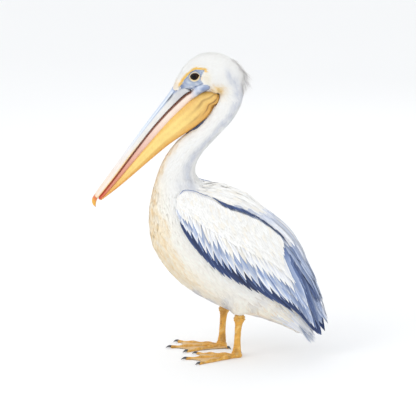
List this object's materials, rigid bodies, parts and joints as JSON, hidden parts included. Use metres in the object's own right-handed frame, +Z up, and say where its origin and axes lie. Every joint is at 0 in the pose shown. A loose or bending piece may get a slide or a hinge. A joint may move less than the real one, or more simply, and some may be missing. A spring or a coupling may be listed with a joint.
{
  "type": "great white pelican",
  "caption": "Life-size standing pelican with S-bent neck, long pouched bill resting low, folded layered wings, short tail and webbed feet.",
  "frame": {"origin": "on the floor, under the middle of the bird's bounding box", "axes": "+Z up, the bird faces -Y, its left side is +X"},
  "size_m": [0.3208, 0.6962, 0.9154],
  "materials": {
    "white_feathers": "soft matte plumage, white with a cream breast",
    "wing_coverts": "matte plumage, white to pale blue-grey",
    "flight_feathers": "matte dark slate-blue vanes",
    "tail_feathers": "matte pale blue-grey vanes",
    "bill_horn": "satin horn, blue-grey ridge and peach edges",
    "nail_horn": "satin orange horn",
    "pouch_skin": "soft yellow-orange bare skin with long folds",
    "leg_skin": "scaly ochre-orange skin",
    "claw_horn": "dark slate horn",
    "eye": "wet dark brown eye"
  },
  "bodies": {
    "root": {"bill_lower": "bill_horn", "bill_nail": "nail_horn", "bill_upper": "bill_horn", "claw_left_hind": "claw_horn", "claw_left_inner": "claw_horn", "claw_left_middle": "claw_horn", "claw_left_outer": "claw_horn", "claw_right_hind": "claw_horn", "claw_right_inner": "claw_horn", "claw_right_middle": "claw_horn", "claw_right_outer": "claw_horn", "crest": "white_feathers", "eye_left": "eye", "eye_right": "eye", "foot_left": "leg_skin", "foot_right": "leg_skin", "head": "white_feathers", "neck_lower": "white_feathers", "neck_middle": "white_feathers", "neck_upper": "white_feathers", "pouch": "pouch_skin", "rump": "white_feathers", "scapulars": "wing_coverts", "tail": "tail_feathers", "tarsus_left": "leg_skin", "tarsus_right": "leg_skin", "thigh_left": "white_feathers", "thigh_right": "white_feathers", "trunk": "white_feathers", "wing_left_coverts": "wing_coverts", "wing_left_primaries": "flight_feathers", "wing_left_secondaries": "flight_feathers", "wing_right_coverts": "wing_coverts", "wing_right_primaries": "flight_feathers", "wing_right_secondaries": "flight_feathers"}
  },
  "joints": []
}
